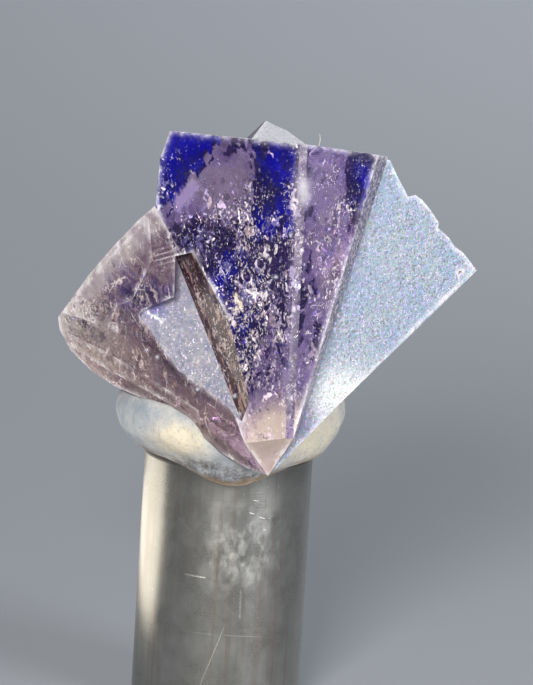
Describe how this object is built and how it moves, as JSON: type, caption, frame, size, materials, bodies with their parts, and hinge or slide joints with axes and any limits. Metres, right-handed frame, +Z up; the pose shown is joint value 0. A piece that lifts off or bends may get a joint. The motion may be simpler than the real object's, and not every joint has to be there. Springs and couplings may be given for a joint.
{
  "type": "fluorite crystal specimen on a rod",
  "caption": "Violet and blue fluorite octahedra grown together in one specimen, pressed into white mounting putty on a short round metal rod.",
  "frame": {"origin": "centre of the rod's flat foot, on the surface that the part stands on", "axes": "+Z up along the rod, +X to the viewer's right, the viewer on the -Y side"},
  "size_m": [0.0197, 0.0183, 0.0289],
  "materials": {
    "fluorite": "clear fluorite, violet with cobalt blue zones, glassy faces beside frosted ones, many inner cracks",
    "putty": "soft white mounting putty, satin, slightly translucent, with dark specks",
    "rod": "satin turned metal with fine scratches and scuffs"
  },
  "bodies": {
    "root": {"fluorite_crystals": "fluorite", "mounting_putty": "putty", "metal_rod": "rod"}
  },
  "joints": []
}
